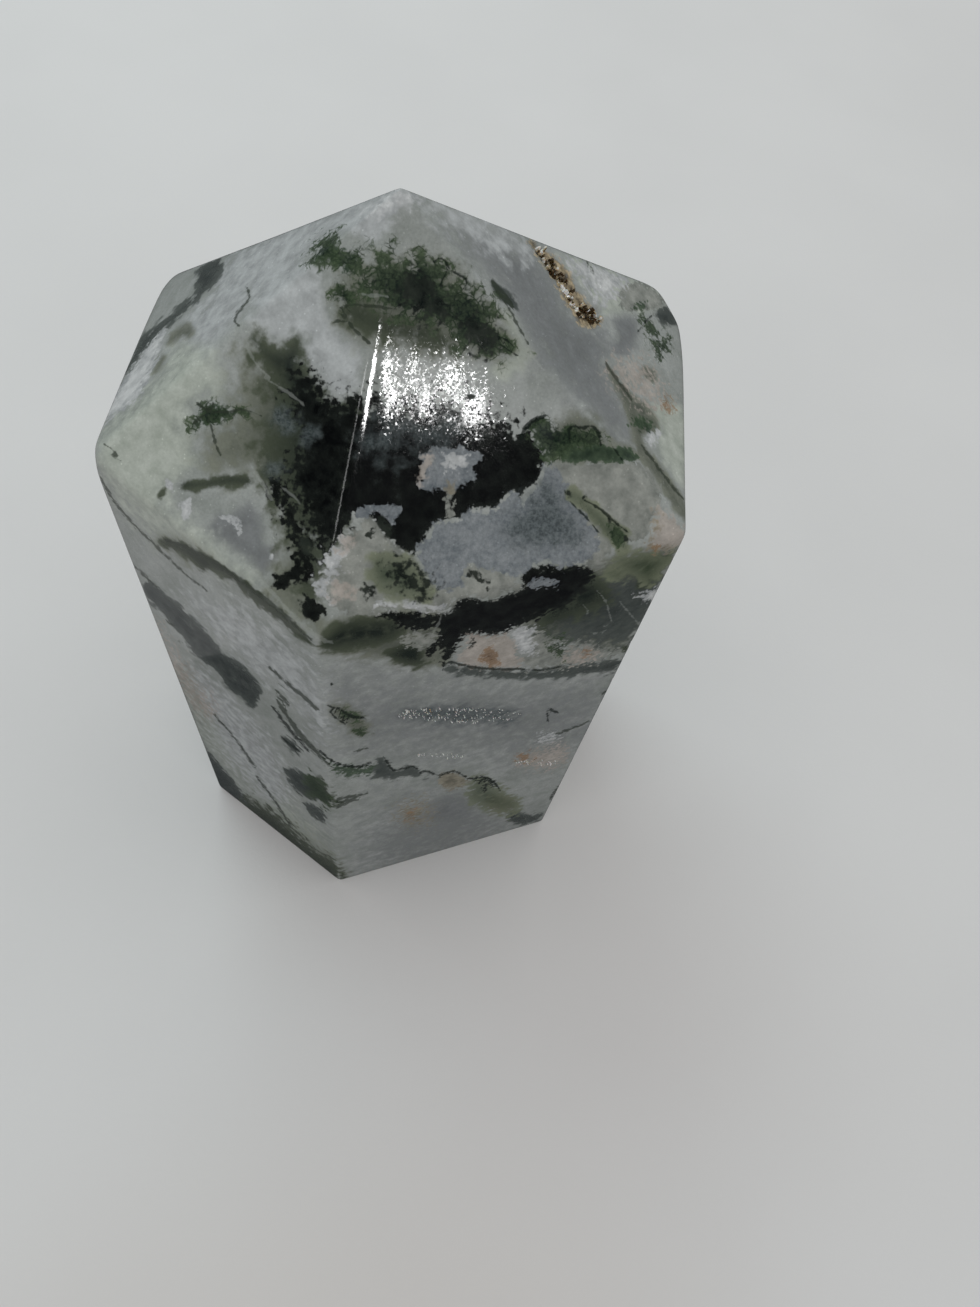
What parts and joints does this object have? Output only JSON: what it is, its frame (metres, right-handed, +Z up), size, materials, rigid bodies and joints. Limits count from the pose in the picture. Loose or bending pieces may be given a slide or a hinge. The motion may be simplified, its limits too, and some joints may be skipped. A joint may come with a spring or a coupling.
{
  "type": "moss agate tower",
  "caption": "Polished moss agate tower: an uneven faceted prism with a pointed faceted top and a flat base that it stands on.",
  "frame": {"origin": "on the flat base, under the middle of the prism, at the surface the stone stands on", "axes": "+Z up along the prism to the tip; -Y towards the front vertical edge of the stone; +X to its right"},
  "size_m": [0.0444, 0.0456, 0.0828],
  "materials": {
    "moss_agate": "high polish on milky grey chalcedony with dark green moss-like inclusions, pale bands and a few rough crystal-lined spots"
  },
  "bodies": {
    "root": {"moss_agate_tower": "moss_agate"}
  },
  "joints": []
}
